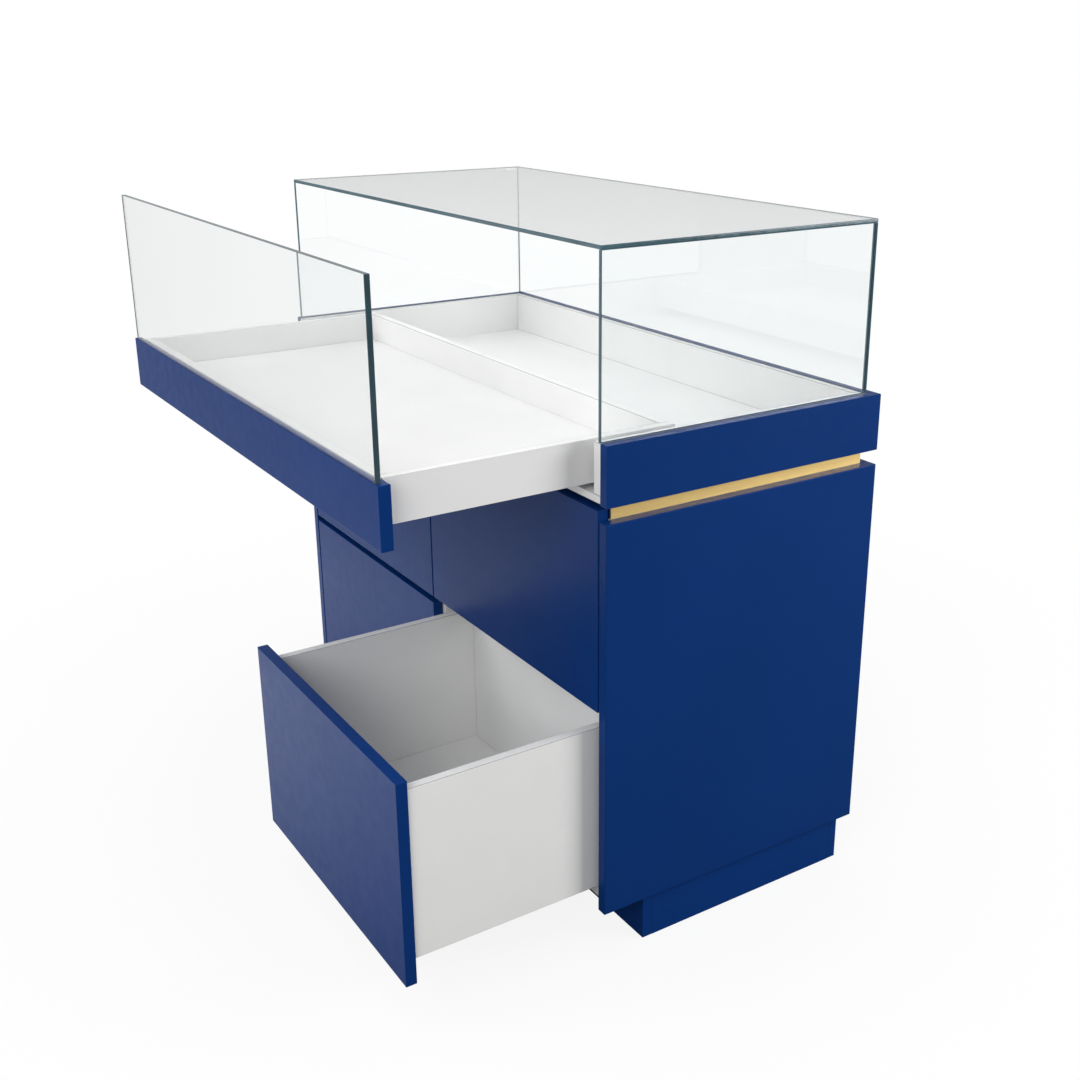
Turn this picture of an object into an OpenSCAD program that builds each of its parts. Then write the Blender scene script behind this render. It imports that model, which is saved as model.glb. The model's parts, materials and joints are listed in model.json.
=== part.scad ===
// Checkout counter with four drawers and a glazed showcase.
// X runs along the counter, the staff side faces -Y and the customer side faces +Y.
// The origin is on the floor, at the middle of the counter's footprint.

/* [Overall] */
// Width across both end panels
counter_w = 1100; // [900:10:1400]
// Depth of the end panels
counter_d = 524; // [520:2:640]
// Height of the recessed plinth
plinth_h = 88; // [60:1:120]
// Height of the end panels
panel_h = 648; // [640:1:760]
// Height of the open reveal under the showcase
reveal_h = 24; // [16:1:40]
// Height of the lacquered band round the showcase
band_h = 92; // [90:1:120]
// Height of the glazing above the band
glazing_h = 272; // [200:1:340]

/* [Boards] */
// Thickness of the lacquered cabinet boards
board_t = 18; // [16:1:20]
// Thickness of the lacquered band and of the white case boards
case_t = 16; // [14:1:18]
// Thickness of the drawer box boards
box_t = 15; // [12:1:16]
// Thickness of the drawer bottoms
drawer_bottom_t = 12; // [8:1:12]
// Thickness of the display tray's floor
tray_floor_t = 8; // [6:1:8]

/* [Plinth] */
// How far the plinth stands back from the ends and the customer side
plinth_inset = 16; // [10:1:40]
// How far the plinth stands back from the staff side, for toes
toe_recess = 86; // [60:1:100]

/* [Glazing] */
// Thickness of the fixed panes
pane_t = 6; // [5:1:8]
// Thickness of the pane on the display tray
tray_pane_t = 8; // [6:1:8]
// Depth that the tray's pane is let into its front board
pane_groove = 10; // [6:1:12]
// Thickness of the front board left in front of the tray's pane
pane_lip = 1.5; // [1:0.5:3]

/* [Drawers] */
// Height of the gap for fingers between the upper and lower fronts
finger_gap = 11.5; // [8:0.5:16]
// Height of the lower fronts
lower_front_h = 335.5; // [320:0.5:345]
// How far the lower fronts hang below the end panels
front_drop = 3; // [0:1:4]
// Gap left and right of each front
front_gap = 3.5; // [2:0.5:4]
// Depth of the drawer boxes behind their fronts
box_d = 391; // [370:1:400]
// Gap between a drawer box and the cabinet on each side
box_gap = 9.5; // [8:0.5:12]
// How far the box sides reach below the drawer bottom
side_skirt = 13; // [12:1:14]

/* [Display tray] */
// Outer half width of the tray box
tray_half_w = 507; // [400:1:507]
// Depth of the tray box behind its front board
tray_d = 465; // [440:1:465]
// Clear height of the tray's rim above its floor
tray_rim_h = 51.5; // [40:0.5:55]

/* [Runners] */
// Length of the drawers' fixed runner channels
runner_len = 350; // [300:10:350]
// Length of the tray's fixed channels, which the open tray still covers
tray_channel_len = 140; // [120:5:140]
// Length of the tray's carriers, which the open tray still covers
tray_carrier_len = 296; // [280:2:296]
// Length of the tray's sliders
tray_slider_len = 346; // [320:2:346]
// Width of the runner channels
runner_w = 30; // [28:1:34]
// Thickness of the runners' sheet steel
steel_t = 1.5; // [1.2:0.1:1.6]
// Height taken by a drawer runner under the drawer bottom
drawer_runner_h = 22; // [20:1:24]

/* [Open at rest] */
// How far the display tray stands open
tray_open = 317; // [0:1:350]
// How far the lower right drawer stands open
drawer_open = 332; // [0:1:350]

/* [Hidden] */
LACQUER = [0.09, 0.17, 0.38];
WHITE = [0.95, 0.95, 0.94];
GOLD = [0.82, 0.66, 0.38];
STEEL = [0.62, 0.64, 0.66];
GLASS = [0.62, 0.80, 0.84, 0.35];

// Levels, from the floor up
panel_top_z = plinth_h + panel_h;
band_z = panel_top_z + reveal_h;
band_top_z = band_z + band_h;
glass_top_z = band_top_z + glazing_h;
base_raise = 3;
base_t = 12;
base_z = band_z + base_raise;
base_top_z = base_z + base_t;
top_panel_z = panel_top_z - board_t;
floor_panel_top_z = plinth_h + board_t;

// Faces across the width and through the depth
half_w = counter_w / 2;
staff_y = -counter_d / 2;
guest_y = counter_d / 2;
end_inner_x = half_w - board_t;
band_inner_x = half_w - case_t;
liner_inner_x = band_inner_x - case_t;
band_inner_y = guest_y - case_t;
guest_inner_y = guest_y - board_t;

// Carcass boards stop behind the fronts
shut_gap = 2;
carcass_y = staff_y + board_t + shut_gap;
divider_half = board_t / 2;

// Plinth frame
plinth_x = half_w - plinth_inset;
plinth_y0 = staff_y + toe_recess;
plinth_y1 = guest_y - plinth_inset;

// Recessed spacer frame and its metal trim in the reveal
trim_t = 2;
trim_x = end_inner_x;
trim_y = guest_inner_y;
spacer_x = trim_x - trim_t;
spacer_y = trim_y - trim_t;
rail_x = spacer_x - board_t;

// Drawer fronts
seam_half = 1.5;
front_z = [plinth_h - front_drop, plinth_h - front_drop + lower_front_h + finger_gap];
front_top_gap = 8.5;
upper_front_h = band_z - front_top_gap - front_z[1];
front_h = [lower_front_h, upper_front_h];

// Drawer boxes: [lower, upper]
box_in_x = divider_half + box_gap;
box_out_x = end_inner_x - box_gap;
box_y0 = staff_y + board_t;
box_y1 = box_y0 + box_d;
box_raise = 36;
box_z = [plinth_h + box_raise, front_z[1] + box_raise];
box_top_room = [16.5, 47.5];
box_h = [for (row = [0, 1]) front_z[row] + front_h[row] - box_top_room[row] - box_z[row]];

// Display tray, given shut
tray_shut_gap = 1;
tray_front_y = staff_y - tray_shut_gap - board_t;
tray_front_x = band_inner_x - 1;
tray_front_z = [band_z + 1, band_top_z - 1];
tray_y0 = staff_y - tray_shut_gap;
tray_y1 = tray_y0 + tray_d;
tray_in_x = tray_half_w - case_t;
tray_floor_z = band_top_z - tray_rim_h - tray_floor_t;
tray_skirt = 5.5;
tray_bottom_z = tray_floor_z - tray_skirt;
tray_pane_half = 523;
tray_pane_top_z = glass_top_z - pane_t - 2.5;

// Runners: a fixed channel, a carrier that travels half as far, and a slider on the drawer
slide_gap = 0.4;
lip_w = 4;
tray_runner_h = tray_floor_z - base_top_z;
tray_runner_x = tray_in_x - 36;
tray_runner_y = staff_y + 2;
drawer_runner_y = carcass_y + 2;
drawer_runner_x = box_gap + box_t + 2 + runner_w / 2;
runner_flange_h = 30;
tray_foot_w = 12;
carrier_short = 10;
slider_short = 4;
screw_head_r = 3.5;
screw_head_h = 2;
screw_shank_r = 1.75;
screw_len = 9;
screw_spots = [0.1, 0.5, 0.9];

// A flat board between two faces on each axis
module board(x, y, z) {
    translate([x[0], y[0], z[0]])
        cube([x[1] - x[0], y[1] - y[0], z[1] - z[0]]);
}

// The same shape at the left and at the right
module both_ends() {
    children();
    mirror([1, 0, 0]) children();
}

// A profile drawn in X and Z, drawn out along Y from y0
module drawn(y0, length) {
    translate([0, y0 + length, 0])
        rotate([90, 0, 0])
            linear_extrude(length)
                children();
}

// Section of a C channel, open upwards, with lips turned in along its top
module c_section(half, z0, z1) {
    polygon([
        [-half, z0], [half, z0], [half, z1], [half - lip_w, z1], [half - lip_w, z1 - steel_t],
        [half - steel_t, z1 - steel_t], [half - steel_t, z0 + steel_t],
        [steel_t - half, z0 + steel_t], [steel_t - half, z1 - steel_t],
        [lip_w - half, z1 - steel_t], [lip_w - half, z1], [-half, z1]
    ]);
}

// Height of a fixed channel, for a runner of height h
function channel_top(h) = h - 2 * steel_t - slide_gap;

// Section of the carrier, one sliding gap inside the channel
module carrier_section(h) {
    inset = steel_t + slide_gap;
    c_section(runner_w / 2 - inset, inset, channel_top(h) - inset);
}

// Section of the slider: a foot inside the carrier, a web, and a plate under the drawer
module slider_section(h) {
    foot_z = 2 * (steel_t + slide_gap);
    foot_half = runner_w / 2 - 2 * (steel_t + slide_gap);
    translate([-foot_half, foot_z]) square([2 * foot_half, steel_t]);
    translate([-steel_t, foot_z]) square([2 * steel_t, h - foot_z]);
    translate([-runner_w / 2, h - steel_t]) square([runner_w, steel_t]);
}

// A pan head screw whose head sits on the plane z = 0, pointing down
module screw() {
    cylinder(r = screw_head_r, h = screw_head_h, $fn = 24);
    translate([0, 0, -screw_len]) cylinder(r = screw_shank_r, h = screw_len, $fn = 24);
}

// ---- Plinth ----

module plinth_rails() {
    color(LACQUER) {
        board([-plinth_x, plinth_x], [plinth_y0, plinth_y0 + board_t], [0, plinth_h]);
        board([-plinth_x, plinth_x], [plinth_y1 - board_t, plinth_y1], [0, plinth_h]);
    }
}

module plinth_ends() {
    color(LACQUER)
        both_ends()
            board([plinth_x - board_t, plinth_x], [plinth_y0 + board_t, plinth_y1 - board_t], [0, plinth_h]);
}

module plinth_brace() {
    color(LACQUER)
        board([-divider_half, divider_half], [plinth_y0 + board_t, plinth_y1 - board_t], [0, plinth_h]);
}

// ---- Cabinet ----

module bottom_panel() {
    color(WHITE)
        board([-end_inner_x, end_inner_x], [carcass_y, guest_inner_y], [plinth_h, floor_panel_top_z]);
}

module end_panel() {
    color(LACQUER)
        board([end_inner_x, half_w], [staff_y, guest_y], [plinth_h, panel_top_z]);
}

module right_end_panel() { end_panel(); }

module left_end_panel() { mirror([1, 0, 0]) end_panel(); }

module customer_panel() {
    color(LACQUER)
        board([-end_inner_x, end_inner_x], [guest_inner_y, guest_y], [plinth_h, panel_top_z]);
}

module centre_divider() {
    color(WHITE)
        board([-divider_half, divider_half], [carcass_y, guest_inner_y], [floor_panel_top_z, top_panel_z]);
}

module top_panel() {
    color(WHITE)
        board([-end_inner_x, end_inner_x], [carcass_y, guest_inner_y], [top_panel_z, panel_top_z]);
}

// ---- Reveal ----

module spacer_ends() {
    color(LACQUER)
        both_ends()
            board([rail_x, spacer_x], [carcass_y, spacer_y], [panel_top_z, base_z]);
}

module spacer_rails() {
    color(LACQUER) {
        board([-rail_x, rail_x], [carcass_y, carcass_y + board_t], [panel_top_z, base_z]);
        board([-rail_x, rail_x], [spacer_y - board_t, spacer_y], [panel_top_z, base_z]);
    }
}

module end_trims() {
    color(GOLD)
        both_ends()
            board([spacer_x, trim_x], [carcass_y, trim_y], [panel_top_z, base_z]);
}

module customer_trim() {
    color(GOLD)
        board([-spacer_x, spacer_x], [spacer_y, trim_y], [panel_top_z, base_z]);
}

// ---- Showcase ----

module case_base() {
    color(WHITE)
        board([-band_inner_x, band_inner_x], [staff_y, band_inner_y], [base_z, base_top_z]);
}

module end_band() {
    color(LACQUER)
        board([band_inner_x, half_w], [staff_y, guest_y], [band_z, band_top_z]);
}

module right_band() { end_band(); }

module left_band() { mirror([1, 0, 0]) end_band(); }

module customer_band() {
    color(LACQUER)
        board([-band_inner_x, band_inner_x], [band_inner_y, guest_y], [band_z, band_top_z]);
}

module end_liner() {
    color(WHITE)
        board([liner_inner_x, band_inner_x], [staff_y, band_inner_y], [base_top_z, band_top_z]);
}

module right_liner() { end_liner(); }

module left_liner() { mirror([1, 0, 0]) end_liner(); }

module customer_liner() {
    color(WHITE)
        board([-liner_inner_x, liner_inner_x], [band_inner_y - case_t, band_inner_y],
              [base_top_z, band_top_z]);
}

module end_pane() {
    color(GLASS)
        board([band_inner_x - pane_t, band_inner_x], [staff_y, band_inner_y],
              [band_top_z, glass_top_z - pane_t]);
}

module right_glass() { end_pane(); }

module left_glass() { mirror([1, 0, 0]) end_pane(); }

module customer_glass() {
    pane_x = band_inner_x - pane_t;
    color(GLASS)
        board([-pane_x, pane_x], [band_inner_y - pane_t, band_inner_y], [band_top_z, glass_top_z - pane_t]);
}

module top_glass() {
    color(GLASS)
        board([-band_inner_x, band_inner_x], [staff_y, band_inner_y], [glass_top_z - pane_t, glass_top_z]);
}

// ---- Display tray ----

module tray_at_rest() {
    translate([0, -tray_open, 0]) children();
}

module tray_front() {
    groove_y = tray_front_y + pane_lip;
    color(LACQUER)
        tray_at_rest()
            difference() {
                board([-tray_front_x, tray_front_x], [tray_front_y, tray_front_y + board_t], tray_front_z);
                board([-tray_pane_half, tray_pane_half], [groove_y, groove_y + tray_pane_t],
                      [tray_front_z[1] - pane_groove, tray_front_z[1] + 1]);
            }
}

module tray_pane() {
    pane_y = tray_front_y + pane_lip;
    color(GLASS)
        tray_at_rest()
            board([-tray_pane_half, tray_pane_half], [pane_y, pane_y + tray_pane_t],
                  [tray_front_z[1] - pane_groove, tray_pane_top_z]);
}

module tray_floor() {
    color(WHITE)
        tray_at_rest()
            board([-tray_in_x, tray_in_x], [tray_y0 + case_t, tray_y1 - case_t],
                  [tray_floor_z, tray_floor_z + tray_floor_t]);
}

module tray_side() {
    color(WHITE)
        tray_at_rest()
            board([tray_in_x, tray_half_w], [tray_y0, tray_y1], [tray_bottom_z, band_top_z]);
}

module tray_right_side() { tray_side(); }

module tray_left_side() { mirror([1, 0, 0]) tray_side(); }

// The back and the front rim end level with the floor's underside, clear of the runners
module tray_back() {
    color(WHITE)
        tray_at_rest()
            board([-tray_in_x, tray_in_x], [tray_y1 - case_t, tray_y1], [tray_floor_z, band_top_z]);
}

module tray_front_rim() {
    color(WHITE)
        tray_at_rest()
            board([-tray_in_x, tray_in_x], [tray_y0, tray_y0 + case_t], [tray_floor_z, band_top_z]);
}

// ---- Tray runners ----

// One shape at the place of each tray runner, standing on the case base
module at_tray_runners() {
    both_ends()
        translate([tray_runner_x, 0, base_top_z]) children();
}

// The fixed channel has a foot turned outwards for its screws
module tray_channels() {
    color(STEEL)
        at_tray_runners()
            drawn(tray_runner_y, tray_channel_len) {
                c_section(runner_w / 2, 0, channel_top(tray_runner_h));
                translate([runner_w / 2, 0]) square([tray_foot_w, steel_t]);
            }
}

module tray_carriers() {
    color(STEEL)
        translate([0, -tray_open / 2, 0])
            at_tray_runners()
                drawn(tray_runner_y + 1, tray_carrier_len)
                    carrier_section(tray_runner_h);
}

module tray_sliders() {
    color(STEEL)
        tray_at_rest()
            at_tray_runners()
                drawn(tray_runner_y + 1, tray_slider_len)
                    slider_section(tray_runner_h);
}

// ---- Drawer runners ----

// One shape on the divider's right face and one, mirrored, on the end panel of that bay
module at_bay_walls() {
    translate([divider_half, 0, 0]) children();
    translate([end_inner_x, 0, 0]) mirror([1, 0, 0]) children();
}

function runner_z(row) = box_z[row] + side_skirt - drawer_runner_h;

module drawer_channel_pair(row) {
    translate([0, 0, runner_z(row)])
        at_bay_walls()
            drawn(drawer_runner_y, runner_len) {
                square([steel_t, runner_flange_h]);
                square([drawer_runner_x, steel_t]);
                translate([drawer_runner_x, 0])
                    c_section(runner_w / 2, 0, channel_top(drawer_runner_h));
            }
}

module drawer_channels() {
    color(STEEL)
        both_ends()
            for (row = [0, 1]) drawer_channel_pair(row);
}

module runner_screws() {
    flange_mid_z = runner_flange_h * 0.65;
    foot_mid_x = (runner_w + tray_foot_w) / 2;
    foot_top_z = base_top_z + steel_t;
    color(STEEL)
        both_ends() {
            for (row = [0, 1], spot = screw_spots)
                at_bay_walls()
                    translate([steel_t, drawer_runner_y + spot * runner_len, runner_z(row) + flange_mid_z])
                        rotate([0, 90, 0]) screw();
            for (spot = screw_spots)
                translate([tray_runner_x + foot_mid_x, tray_runner_y + spot * tray_channel_len, foot_top_z])
                    screw();
        }
}

// ---- Drawers ----
// A drawer is drawn in the right-hand bay, shut; column -1 mirrors it to the left, and
// pulled moves it towards the staff.

module place(column, pulled) {
    translate([0, -pulled, 0])
        mirror([column < 0 ? 1 : 0, 0, 0])
            children();
}

module drawer_front(row) {
    color(LACQUER)
        board([seam_half, end_inner_x - front_gap], [staff_y, staff_y + board_t],
              [front_z[row], front_z[row] + front_h[row]]);
}

module drawer_sides(row) {
    z = [box_z[row], box_z[row] + box_h[row]];
    color(WHITE) {
        board([box_in_x, box_in_x + box_t], [box_y0, box_y1], z);
        board([box_out_x - box_t, box_out_x], [box_y0, box_y1], z);
    }
}

module drawer_back(row) {
    color(WHITE)
        board([box_in_x + box_t, box_out_x - box_t], [box_y1 - box_t, box_y1],
              [box_z[row] + side_skirt, box_z[row] + box_h[row]]);
}

module drawer_bottom(row) {
    z0 = box_z[row] + side_skirt;
    color(WHITE)
        board([box_in_x + box_t, box_out_x - box_t], [box_y0, box_y1 - box_t], [z0, z0 + drawer_bottom_t]);
}

// One shape at each runner of a drawer
module at_drawer_runners(row) {
    translate([0, 0, runner_z(row)])
        at_bay_walls()
            translate([drawer_runner_x, 0, 0]) children();
}

module drawer_sliders(row) {
    color(STEEL)
        at_drawer_runners(row)
            drawn(drawer_runner_y + 1, runner_len - slider_short)
                slider_section(drawer_runner_h);
}

module drawer_carriers(row) {
    color(STEEL)
        at_drawer_runners(row)
            drawn(drawer_runner_y + 1, runner_len - carrier_short)
                carrier_section(drawer_runner_h);
}

module lower_left_front() { place(-1, 0) drawer_front(0); }
module lower_left_sides() { place(-1, 0) drawer_sides(0); }
module lower_left_back() { place(-1, 0) drawer_back(0); }
module lower_left_bottom() { place(-1, 0) drawer_bottom(0); }
module lower_left_sliders() { place(-1, 0) drawer_sliders(0); }
module lower_left_carriers() { place(-1, 0) drawer_carriers(0); }

module lower_right_front() { place(1, drawer_open) drawer_front(0); }
module lower_right_sides() { place(1, drawer_open) drawer_sides(0); }
module lower_right_back() { place(1, drawer_open) drawer_back(0); }
module lower_right_bottom() { place(1, drawer_open) drawer_bottom(0); }
module lower_right_sliders() { place(1, drawer_open) drawer_sliders(0); }
module lower_right_carriers() { place(1, drawer_open / 2) drawer_carriers(0); }

module upper_left_front() { place(-1, 0) drawer_front(1); }
module upper_left_sides() { place(-1, 0) drawer_sides(1); }
module upper_left_back() { place(-1, 0) drawer_back(1); }
module upper_left_bottom() { place(-1, 0) drawer_bottom(1); }
module upper_left_sliders() { place(-1, 0) drawer_sliders(1); }
module upper_left_carriers() { place(-1, 0) drawer_carriers(1); }

module upper_right_front() { place(1, 0) drawer_front(1); }
module upper_right_sides() { place(1, 0) drawer_sides(1); }
module upper_right_back() { place(1, 0) drawer_back(1); }
module upper_right_bottom() { place(1, 0) drawer_bottom(1); }
module upper_right_sliders() { place(1, 0) drawer_sliders(1); }
module upper_right_carriers() { place(1, 0) drawer_carriers(1); }

plinth_rails();
plinth_ends();
plinth_brace();
bottom_panel();
left_end_panel();
right_end_panel();
customer_panel();
centre_divider();
top_panel();
spacer_ends();
spacer_rails();
end_trims();
customer_trim();
case_base();
left_band();
right_band();
customer_band();
left_liner();
right_liner();
customer_liner();
left_glass();
right_glass();
customer_glass();
top_glass();
tray_channels();
drawer_channels();
runner_screws();
tray_front();
tray_pane();
tray_floor();
tray_left_side();
tray_right_side();
tray_back();
tray_front_rim();
tray_sliders();
tray_carriers();
lower_left_front();
lower_left_sides();
lower_left_back();
lower_left_bottom();
lower_left_sliders();
lower_left_carriers();
lower_right_front();
lower_right_sides();
lower_right_back();
lower_right_bottom();
lower_right_sliders();
lower_right_carriers();
upper_left_front();
upper_left_sides();
upper_left_back();
upper_left_bottom();
upper_left_sliders();
upper_left_carriers();
upper_right_front();
upper_right_sides();
upper_right_back();
upper_right_bottom();
upper_right_sliders();
upper_right_carriers();
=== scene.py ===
"""Looks of a lacquered checkout counter with a glazed showcase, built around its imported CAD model."""

import json
import math

import bpy
from mathutils import Matrix, Vector

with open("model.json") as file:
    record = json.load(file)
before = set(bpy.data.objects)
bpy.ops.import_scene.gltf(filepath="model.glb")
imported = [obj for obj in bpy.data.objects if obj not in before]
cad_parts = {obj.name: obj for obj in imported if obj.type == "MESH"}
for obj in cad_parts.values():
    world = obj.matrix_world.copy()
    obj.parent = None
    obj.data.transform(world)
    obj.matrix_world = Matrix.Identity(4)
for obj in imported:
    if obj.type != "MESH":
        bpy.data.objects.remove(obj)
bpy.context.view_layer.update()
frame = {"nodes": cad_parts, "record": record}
nodes = frame["nodes"]
slot_of = {part["node"]: part["material_slot"] for part in frame["record"]["subparts"]}
MM = 0.001


def add_object(name, data):
    """A new object around its data, linked into the scene."""
    thing = bpy.data.objects.new(name, data)
    bpy.context.scene.collection.objects.link(thing)
    return thing


# ---- Camera ----

CAMERA_PLACE = Vector((1.9968, -1.2542, 1.3781))
CAMERA_AZIMUTH = math.radians(56.64)
CAMERA_ELEVATION = math.radians(19.22)
CAMERA_ROLL = math.radians(-0.064)
CAMERA_LENS = 44.41
CAMERA_SENSOR = 36
CAMERA_SHIFT = (-0.0397, -0.0321)


def make_camera():
    """The camera stands a little above the glass, off the counter's open right-hand corner."""
    data = bpy.data.cameras.new("camera")
    data.lens = CAMERA_LENS
    data.sensor_width = CAMERA_SENSOR
    data.shift_x, data.shift_y = CAMERA_SHIFT
    camera = add_object("camera", data)
    level = math.cos(CAMERA_ELEVATION)
    looking = Vector((
        -math.sin(CAMERA_AZIMUTH) * level,
        math.cos(CAMERA_AZIMUTH) * level,
        -math.sin(CAMERA_ELEVATION),
    ))
    turn = looking.to_track_quat("-Z", "Y").to_matrix() @ Matrix.Rotation(CAMERA_ROLL, 3, "Z")
    camera.matrix_world = Matrix.Translation(CAMERA_PLACE) @ turn.to_4x4()
    bpy.context.scene.camera = camera


# ---- Studio ----

WHITE_LIGHT = (1.0, 1.0, 1.0)

# How bright the room is as light that fills in, and in reflections.
ROOM_FILL = 0.28
ROOM_GLOSS = 0.6

# The floor to look at fades to pure white between two distances from its middle.
FLOOR_HALF = 40.0
FLOOR_PALE = (0.9, 0.9, 0.9)
FLOOR_DULL = (0.2, 0.2, 0.2)
FLOOR_FADE_REACH = (0.7, 1.8)
FLOOR_FADE_SHARE = (0.88, 1.0)

# The floor's painted glow rises out of painted shade under the counter and falls off again along a
# direction out from the counter's staff side.
GLOW_DIRECTION = (-0.5, -0.85, 0)
GLOW_SOFT = 0.75
GLOW_GLOSS = 1.15
GLOW_RISE = (0.2, 1.0)
GLOW_FALL = (1.05, 1.75)
GLOW_FAR = 0.35


def soft_light(name, place, aim, size, power, mirrored=True):
    """A square softbox, aimed at a point. One that isn't mirrored leaves no patch in glass."""
    data = bpy.data.lights.new(name, "AREA")
    data.shape = "SQUARE"
    data.size = size
    data.energy = power
    data.color = WHITE_LIGHT
    light = add_object(name, data)
    place = Vector(place)
    light.location = place
    light.visible_glossy = mirrored
    light.rotation_euler = (Vector(aim) - place).to_track_quat("-Z", "Y").to_euler()


def combined(tree, operation, first, *others):
    """One number worked out from several, two at a time."""
    result = first
    for other in others:
        node = tree.nodes.new("ShaderNodeMath")
        node.operation = operation
        tree.links.new(result, node.inputs[0])
        tree.links.new(other, node.inputs[1])
        result = node.outputs[0]
    return result


def seen_by(tree, *rays):
    """1 for light that goes back along any of these kinds of rays, and 0 for all other light."""
    path = tree.nodes.new("ShaderNodeLightPath")
    return combined(tree, "MAXIMUM", *(path.outputs[ray] for ray in rays))


def mix_shaders(tree, share, first, second):
    """The first shader where the share is 0, and the second where it is 1."""
    mix = tree.nodes.new("ShaderNodeMixShader")
    tree.links.new(share, mix.inputs[0])
    tree.links.new(first, mix.inputs[1])
    tree.links.new(second, mix.inputs[2])
    return mix.outputs[0]


def graded(tree, value, start, end, low, high):
    """Turns a number that runs from start to end into one that runs from low to high."""
    node = tree.nodes.new("ShaderNodeMapRange")
    for key, number in {"From Min": start, "From Max": end, "To Min": low, "To Max": high}.items():
        node.inputs[key].default_value = number
    tree.links.new(value, node.inputs["Value"])
    return node.outputs["Result"]


def make_world():
    """A white room: brightest to look at, dimmer in reflections, dimmest as light that fills in."""
    world = bpy.data.worlds.new("studio")
    world.use_nodes = True
    tree = world.node_tree
    tree.nodes.clear()
    unseen, white = (tree.nodes.new("ShaderNodeBackground") for _ in range(2))
    strength = graded(tree, seen_by(tree, "Is Glossy Ray"), 0, 1, ROOM_FILL, ROOM_GLOSS)
    tree.links.new(strength, unseen.inputs["Strength"])
    for background in (unseen, white):
        background.inputs["Color"].default_value = (*WHITE_LIGHT, 1)
    out = tree.nodes.new("ShaderNodeOutputWorld")
    seen = seen_by(tree, "Is Camera Ray", "Is Transmission Ray")
    tree.links.new(mix_shaders(tree, seen, unseen.outputs[0], white.outputs[0]), out.inputs["Surface"])
    bpy.context.scene.world = world


def floor_measure(tree, operation, direction=(0, 0, 0)):
    """The length of a floor point's place, or how far it lies along a direction."""
    place = tree.nodes.new("ShaderNodeTexCoord")
    node = tree.nodes.new("ShaderNodeVectorMath")
    node.operation = operation
    node.inputs[1].default_value = direction
    tree.links.new(place.outputs["Object"], node.inputs[0])
    return node.outputs["Value"]


def painted_staff_side_glow(tree):
    """Painted light on the floor: none under the counter, as painted shade, and most a step out on the
    staff side, as a painted pool of light.
    """
    step_out = floor_measure(tree, "DOT_PRODUCT", GLOW_DIRECTION)
    gloss = graded(tree, seen_by(tree, "Is Glossy Ray"), 0, 1, GLOW_SOFT, GLOW_GLOSS)
    near = graded(tree, step_out, *GLOW_RISE, 0.0, 1.0)
    far = graded(tree, step_out, *GLOW_FALL, 1.0, GLOW_FAR)
    return combined(tree, "MULTIPLY", near, far, gloss)


def floor_material():
    """Pale to look at, fading to pure white far out, but dull in the light that it gives back, with a
    painted glow added to that light.
    """
    material = bpy.data.materials.new("pale_floor")
    material.use_nodes = True
    tree = material.node_tree
    tree.nodes.clear()
    pale, dull = (tree.nodes.new("ShaderNodeBsdfDiffuse") for _ in range(2))
    pale.inputs["Color"].default_value = (*FLOOR_PALE, 1)
    dull.inputs["Color"].default_value = (*FLOOR_DULL, 1)
    light, glow = (tree.nodes.new("ShaderNodeEmission") for _ in range(2))
    # Painted glow on the floor, unseen by the camera: a painted pool of light, with painted shade under
    # the counter.
    tree.links.new(painted_staff_side_glow(tree), glow.inputs["Strength"])
    dull_and_painted_glow = tree.nodes.new("ShaderNodeAddShader")
    tree.links.new(dull.outputs[0], dull_and_painted_glow.inputs[0])
    tree.links.new(glow.outputs[0], dull_and_painted_glow.inputs[1])
    fading = graded(tree, floor_measure(tree, "LENGTH"), *FLOOR_FADE_REACH, *FLOOR_FADE_SHARE)
    looked_at = mix_shaders(tree, fading, pale.outputs[0], light.outputs[0])
    out = tree.nodes.new("ShaderNodeOutputMaterial")
    seen = seen_by(tree, "Is Camera Ray", "Is Transmission Ray")
    tree.links.new(mix_shaders(tree, seen, dull_and_painted_glow.outputs[0], looked_at), out.inputs["Surface"])
    return material


def make_floor():
    """A plain pale floor that carries on out of sight."""
    mesh = bpy.data.meshes.new("studio_floor")
    half = FLOOR_HALF
    corners = [(-half, -half, 0), (half, -half, 0), (half, half, 0), (-half, half, 0)]
    mesh.from_pydata(corners, [], [(0, 1, 2, 3)])
    mesh.materials.append(floor_material())
    floor = add_object("studio_floor", mesh)


def make_lights():
    """One softbox over the counter, and one each for its staff side, customer side and open corner."""
    soft_light(
        "overhead",
        place=(-0.2, -0.3, 3.4),
        aim=(-0.1, -0.2, 0.6),
        size=2.6,
        power=44,
        mirrored=False,
    )
    soft_light("staff_side", place=(-1.4, -3.0, 2.2), aim=(-0.2, -0.5, 0.4), size=2.2, power=42)
    soft_light("guest_side", place=(2.3, 2.1, 1.5), aim=(0.4, 0, 0.6), size=1.5, power=65)
    soft_light("open_corner", place=(2.3, -2.9, 2.3), aim=(0.2, -0.3, 0.4), size=2.0, power=46)


def make_studio():
    bpy.context.scene.view_settings.view_transform = "Standard"
    make_world()
    make_floor()
    make_lights()


# ---- Materials ----

# The stretch of a noise's values that holds most of them.
NOISE_RUN = (0.35, 0.65)

# How much a noise is squeezed along each axis; a small share draws it out into lines.
ALONG_Y = (1, 0.01, 1)
ALONG_X = (0.01, 1, 1)
ROLLED = (1, 0.03, 1)
UPRIGHT = (1, 1, 0.2)


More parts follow.
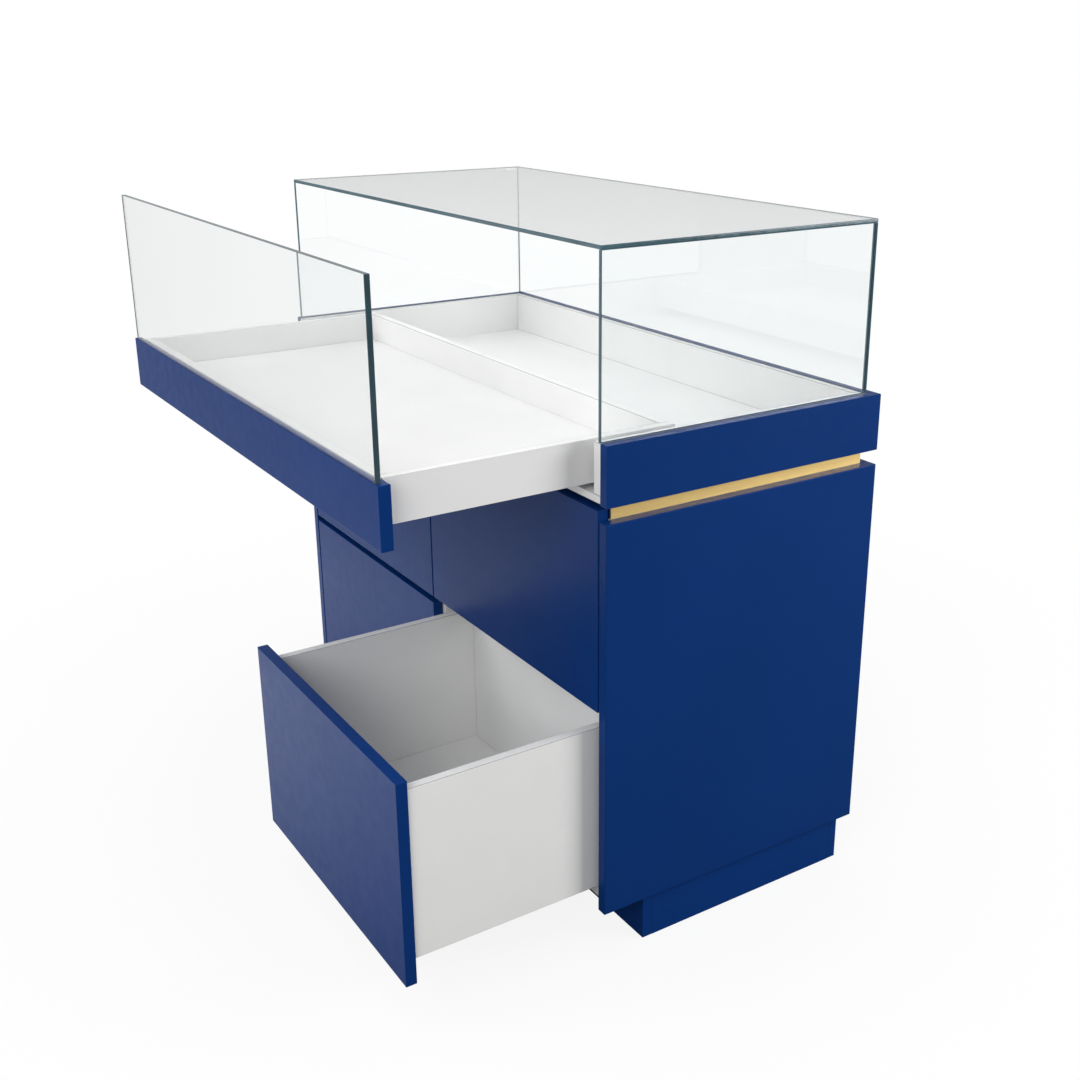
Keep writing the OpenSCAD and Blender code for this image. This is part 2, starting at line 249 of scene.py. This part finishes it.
class Finish:
    """A material around one Principled shader, with short calls that add its nodes."""

    def __init__(self, name):
        self.material = bpy.data.materials.new(name)
        self.material.use_nodes = True
        self.tree = self.material.node_tree
        self.shader = self.tree.nodes["Principled BSDF"]
        self.place = self.add("ShaderNodeTexCoord").outputs["Object"]

    def add(self, kind, **settings):
        node = self.tree.nodes.new(kind)
        for key, value in settings.items():
            setattr(node, key, value)
        return node

    def set(self, **values):
        """Sets sockets of the shader that are the same all over."""
        for key, value in values.items():
            self.shader.inputs[key.replace("_", " ")].default_value = value

    def feed(self, output, socket):
        self.tree.links.new(output, self.shader.inputs[socket])

    def stretched(self, stretch):
        """The place on the object, scaled along each axis."""
        mapping = self.add("ShaderNodeMapping")
        mapping.inputs["Scale"].default_value = stretch
        self.tree.links.new(self.place, mapping.inputs["Vector"])
        return mapping.outputs["Vector"]

    def noise(self, per_metre, detail=2.0, roughness=0.5, stretch=(1, 1, 1)):
        node = self.add("ShaderNodeTexNoise")
        node.inputs["Scale"].default_value = per_metre
        node.inputs["Detail"].default_value = detail
        node.inputs["Roughness"].default_value = roughness
        self.tree.links.new(self.stretched(stretch), node.inputs["Vector"])
        return node.outputs["Fac"]

    def cells(self, per_metre):
        """How far each point lies from the middle of its cell."""
        node = self.add("ShaderNodeTexVoronoi")
        node.inputs["Scale"].default_value = per_metre
        self.tree.links.new(self.place, node.inputs["Vector"])
        return node.outputs["Distance"]

    def spread(self, value, low, high):
        """Turns a noise into a number from low to high."""
        return graded(self.tree, value, *NOISE_RUN, low, high)

    def bump(self, height, strength, depth):
        """Raises the surface by a height."""
        node = self.add("ShaderNodeBump")
        node.inputs["Strength"].default_value = strength
        node.inputs["Distance"].default_value = depth
        self.tree.links.new(height, node.inputs["Height"])
        return node.outputs["Normal"]


def shade(colour, share):
    """A colour made lighter or darker."""
    return tuple(min(1.0, channel * share) for channel in colour)


def colour_between(finish, value, first, second):
    """Feeds a colour that wanders between two colours into the shader."""
    node = finish.add("ShaderNodeMix", data_type="RGBA")
    finish.tree.links.new(value, node.inputs[0])
    node.inputs[6].default_value = (*first, 1)
    node.inputs[7].default_value = (*second, 1)
    finish.feed(node.outputs[2], "Base Color")


def lacquer(name, colour):
    """Sprayed satin lacquer on fibreboard: faint clouds from the spray gun and a fine orange peel."""
    finish = Finish(name)
    clouds = finish.spread(finish.noise(per_metre=3.5, detail=3), low=0, high=1)
    rough = finish.spread(finish.noise(per_metre=45, detail=4), low=0.33, high=0.38)
    orange_peel = finish.bump(finish.noise(per_metre=420), strength=0.08, depth=0.15 * MM)
    colour_between(finish, clouds, shade(colour, 0.97), shade(colour, 1.03))
    finish.feed(rough, "Roughness")
    finish.feed(orange_peel, "Normal")
    finish.set(IOR=1.2)
    return finish.material


def melamine(name, colour):
    """White melamine board: a fine pearl texture pressed into it, hardly any change of colour."""
    finish = Finish(name)
    clouds = finish.spread(finish.noise(per_metre=9, detail=4), low=0, high=1)
    rough = finish.spread(finish.noise(per_metre=140, detail=3), low=0.39, high=0.5)
    pearl = finish.bump(finish.noise(per_metre=1500), strength=0.16, depth=0.12 * MM)
    colour_between(finish, clouds, shade(colour, 0.985), shade(colour, 1.01))
    finish.feed(rough, "Roughness")
    finish.feed(pearl, "Normal")
    finish.set(IOR=1.45)
    return finish.material


def edging(name, colour):
    """The plastic strip on a melamine board's edges, smoother than its faces."""
    finish = Finish(name)
    streaks = finish.spread(finish.noise(per_metre=60, detail=3, stretch=UPRIGHT), low=0, high=1)
    rough = finish.spread(finish.noise(per_metre=90), low=0.34, high=0.44)
    ripple = finish.bump(finish.noise(per_metre=700), strength=0.1, depth=0.1 * MM)
    colour_between(finish, streaks, shade(colour, 0.97), shade(colour, 1.01))
    finish.feed(rough, "Roughness")
    finish.feed(ripple, "Normal")
    finish.set(IOR=1.46)
    return finish.material


def brushed(name, colour, stretch):
    """Metal brushed along one axis, with long fine lines."""
    finish = Finish(name)
    lines = finish.noise(per_metre=900, detail=6, roughness=0.7, stretch=stretch)
    tone = finish.spread(lines, low=0, high=1)
    colour_between(finish, tone, shade(colour, 0.92), shade(colour, 1.04))
    finish.feed(finish.spread(lines, low=0.42, high=0.55), "Roughness")
    finish.feed(finish.bump(lines, strength=0.2, depth=0.04 * MM), "Normal")
    finish.set(Metallic=0.75)
    return finish.material


def zinc(name, colour):
    """Zinc-plated sheet steel: rolled lines, and a faint crystal pattern of the plating."""
    finish = Finish(name)
    crystals = finish.cells(per_metre=160)
    lines = finish.noise(per_metre=500, detail=5, stretch=ROLLED)
    colour_between(finish, crystals, shade(colour, 1.06), shade(colour, 0.86))
    finish.feed(finish.spread(lines, low=0.26, high=0.42), "Roughness")
    finish.feed(finish.bump(lines, strength=0.2, depth=0.06 * MM), "Normal")
    finish.set(Metallic=1.0)
    return finish.material


def pane_face(name, tint):
    """The broad faces of a clear float glass pane, with a trace of dust in the gloss."""
    finish = Finish(name)
    haze = finish.spread(finish.noise(per_metre=7, detail=5), low=0, high=1)
    rough = finish.spread(finish.noise(per_metre=30, detail=4), low=0.0, high=0.012)
    colour_between(finish, haze, tint, shade(tint, 1.004))
    finish.feed(rough, "Roughness")
    finish.set(IOR=1.5, Transmission_Weight=1.0)
    return finish.material


def pane_edge_with_painted_glow(name, colour):
    """The ground edge of a pane: it shows the glass's body tint, and a painted glow stands in for the
    light guided to it.
    """
    finish = Finish(name)
    tone = finish.spread(finish.noise(per_metre=14, detail=3), low=0, high=1)
    rough = finish.spread(finish.noise(per_metre=120), low=0.08, high=0.2)
    grinding = finish.bump(finish.noise(per_metre=300), strength=0.06, depth=0.1 * MM)
    colour_between(finish, tone, shade(colour, 0.4), shade(colour, 0.8))
    finish.feed(rough, "Roughness")
    finish.feed(grinding, "Normal")
    # Painted glow: the edge emits its own tint, so it looks lit even where no light reaches it.
    finish.set(IOR=1.5, Emission_Color=(*colour, 1), Emission_Strength=0.5)
    return finish.material


BLUE = (0.002, 0.034, 0.176)
WHITE = (0.85, 0.85, 0.845)
DRAWER_WHITE = (0.92, 0.92, 0.905)
GLUE_LINE = (0.42, 0.42, 0.41)
GOLD = (0.98, 0.70, 0.27)
STEEL = (0.62, 0.63, 0.64)
GLASS_TINT = (0.975, 0.992, 0.994)
TRAY_GLASS_TINT = (0.982, 0.995, 0.997)
# Edge tints, which are also the colours of the edges' painted glow.
GLASS_EDGE_TINT_AND_GLOW = (0.05, 0.1, 0.125)
TRAY_GLASS_EDGE_TINT_AND_GLOW = (0.03, 0.06, 0.075)

BOARDS = {
    "white_carcass_board": WHITE,
    "white_case_board": WHITE,
    "white_tray_board": WHITE,
    "white_drawer_board": DRAWER_WHITE,
}


def make_materials():
    """A list of materials for each look: broad faces, then edges, then eased corners if they differ."""
    white_edges = [edging("white_edging", shade(WHITE, 1.02)), edging("glue_line", GLUE_LINE)]
    boards = {name: [melamine(name, colour), *white_edges] for name, colour in BOARDS.items()}
    return boards | {
        "blue_satin_lacquer": [lacquer("blue_satin_lacquer", BLUE)],
        "blue_plinth_lacquer": [lacquer("blue_plinth_lacquer", shade(BLUE, 1.1))],
        "brushed_gold_metal": [brushed("brushed_gold_metal", GOLD, ALONG_Y)],
        "brushed_gold_across": [brushed("brushed_gold_across", GOLD, ALONG_X)],
        "case_glass": [pane_face("case_glass", GLASS_TINT), pane_edge_with_painted_glow("case_glass_edge_and_glow", GLASS_EDGE_TINT_AND_GLOW)],
        "tray_glass": [
            pane_face("tray_glass", TRAY_GLASS_TINT),
            pane_edge_with_painted_glow("tray_glass_edge_and_glow", TRAY_GLASS_EDGE_TINT_AND_GLOW),
        ],
        "runner_steel": [zinc("runner_steel", STEEL)],
        "screw_steel": [zinc("screw_steel", shade(STEEL, 0.9))],
    }


# ---- CAD nodes ----

# How wide the eased edges are in each slot.
EASING = dict.fromkeys(BOARDS, 0.8 * MM) | {
    "blue_satin_lacquer": 1.2 * MM,
    "blue_plinth_lacquer": 1.0 * MM,
    "brushed_gold_metal": 0.3 * MM,
    "case_glass": 1.3 * MM,
    "tray_glass": 1.5 * MM,
    "runner_steel": 0.25 * MM,
    "screw_steel": 0.3 * MM,
}
EASING_SEGMENTS = 3
SHARP_ANGLE = math.radians(40)
MERGE_DISTANCE = 0.01 * MM

# A polygon is on a board's broad face when its normal has this much of the board's thin axis.
SQUARE_ON = 0.9


def solids_of(mesh):
    """Groups of polygons that hang together, by the places of their corners."""
    home = {}
    parent = list(range(len(mesh.vertices)))

    def root(i):
        while parent[i] != i:
            parent[i] = parent[parent[i]]
            i = parent[i]
        return i

    for vertex in mesh.vertices:
        key = tuple(round(c / MERGE_DISTANCE) for c in vertex.co)
        first = home.setdefault(key, vertex.index)
        parent[root(vertex.index)] = root(first)
    for polygon in mesh.polygons:
        for i in polygon.vertices[1:]:
            parent[root(i)] = root(polygon.vertices[0])
    groups = {}
    for polygon in mesh.polygons:
        groups.setdefault(root(polygon.vertices[0]), []).append(polygon)
    return list(groups.values())


def thin_axis(mesh, polygons):
    """The axis along which a board is thinnest."""
    corners = [mesh.vertices[i].co for polygon in polygons for i in polygon.vertices]
    spans = [max(c[axis] for c in corners) - min(c[axis] for c in corners) for axis in range(3)]
    return spans.index(min(spans))


def dress(name, materials):
    """Gives a CAD node its materials, with the second one on its boards' edges."""
    mesh = nodes[name].data
    mesh.materials.clear()
    for material in materials:
        mesh.materials.append(material)
    for polygons in solids_of(mesh):
        axis = thin_axis(mesh, polygons)
        for polygon in polygons:
            on_face = abs(polygon.normal[axis]) > SQUARE_ON
            polygon.material_index = 0 if on_face or len(materials) == 1 else 1
            polygon.use_smooth = False


def ease(name, width, look):
    """Rounds a CAD node's sharp edges a little and gives the corners one of its materials."""
    weld = nodes[name].modifiers.new("weld", "WELD")
    weld.merge_threshold = MERGE_DISTANCE
    bevel = nodes[name].modifiers.new("ease", "BEVEL")
    bevel.width = width
    bevel.segments = EASING_SEGMENTS
    bevel.limit_method = "ANGLE"
    bevel.angle_limit = SHARP_ANGLE
    bevel.material = look


def dress_nodes(materials):
    """Gives every CAD node its slot's look, with the customer side's trim brushed along its length."""
    for name in nodes:
        slot = slot_of[name]
        look = "brushed_gold_across" if name == "customer_trim" else slot
        dress(name, materials[look])
        ease(name, EASING[slot], len(materials[look]) - 1)


# ---- Scene ----


make_camera()
make_studio()
dress_nodes(make_materials())
